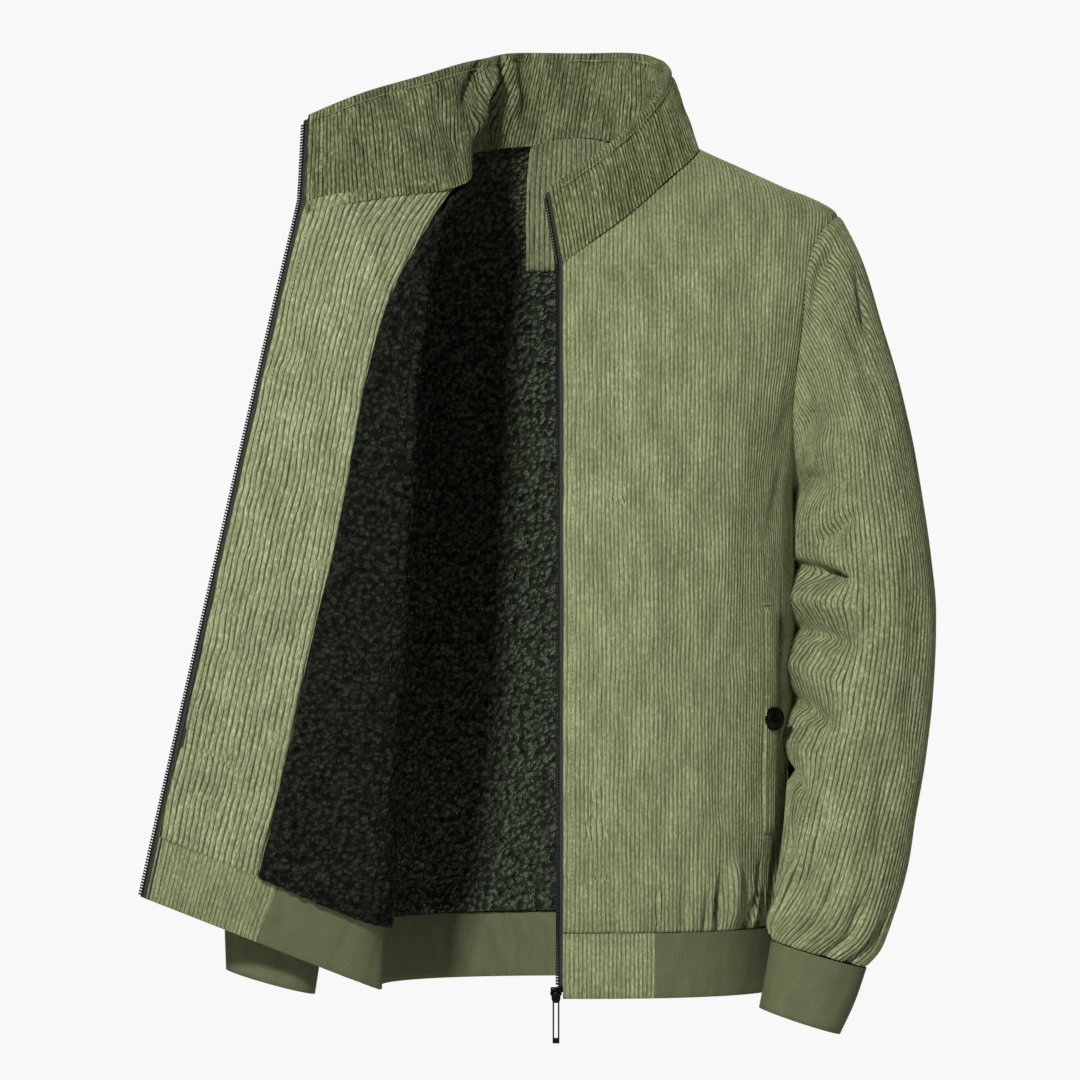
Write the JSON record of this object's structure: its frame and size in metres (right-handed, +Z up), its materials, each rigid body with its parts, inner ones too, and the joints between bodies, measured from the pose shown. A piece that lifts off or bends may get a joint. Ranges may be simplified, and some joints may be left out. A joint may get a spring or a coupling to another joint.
{
  "type": "corduroy winter jacket, worn and open",
  "caption": "Hip-length corduroy jacket with pile lining, stand collar, rib waist and cuffs, filled out as worn, one front swung open.",
  "frame": {"origin": "between the shoulders, level with the points where the shoulder seams meet the collar", "axes": "+Z up, the fronts face -Y, the wearer's left is +X"},
  "size_m": [0.6392, 0.2909, 0.7976],
  "materials": {
    "corduroy": "olive green wide-wale cotton corduroy, soft nap",
    "corduroy_inside": "the same corduroy used for the facings and the inside of the collar",
    "pile_lining": "very dark green deep-pile fleece, curled and matt",
    "rib_knit": "dark olive ribbed knit",
    "zip_tape": "dark green woven tape with moulded teeth",
    "zip_metal": "black enamelled zinc",
    "snap_button": "glossy black snap cap"
  },
  "bodies": {
    "jacket": {"back": "corduroy", "band_end_left": "corduroy", "band_end_right": "corduroy", "button_left": "snap_button", "button_right": "snap_button", "collar_inside": "corduroy_inside", "collar_outside": "corduroy", "cuff_left": "rib_knit", "cuff_right": "rib_knit", "facing_left": "corduroy_inside", "facing_right": "corduroy_inside", "front_left": "corduroy", "front_right": "corduroy", "lining_back": "pile_lining", "lining_left": "pile_lining", "lining_right": "pile_lining", "neck_patch": "corduroy_inside", "sleeve_left": "corduroy", "sleeve_right": "corduroy", "slider": "zip_metal", "waist_rib": "rib_knit", "welt_left": "corduroy", "welt_right": "corduroy", "zip_left": "zip_tape", "zip_right": "zip_tape"},
    "pull": {"pull": "zip_metal"}
  },
  "joints": [
    {"name": "pull_swing", "type": "hinge", "parent": "jacket", "child": "pull", "pos_m": [-0.0094, -0.1286, -0.6771], "axis": [1, 0, 0], "range_deg": [-165, 0]}
  ]
}
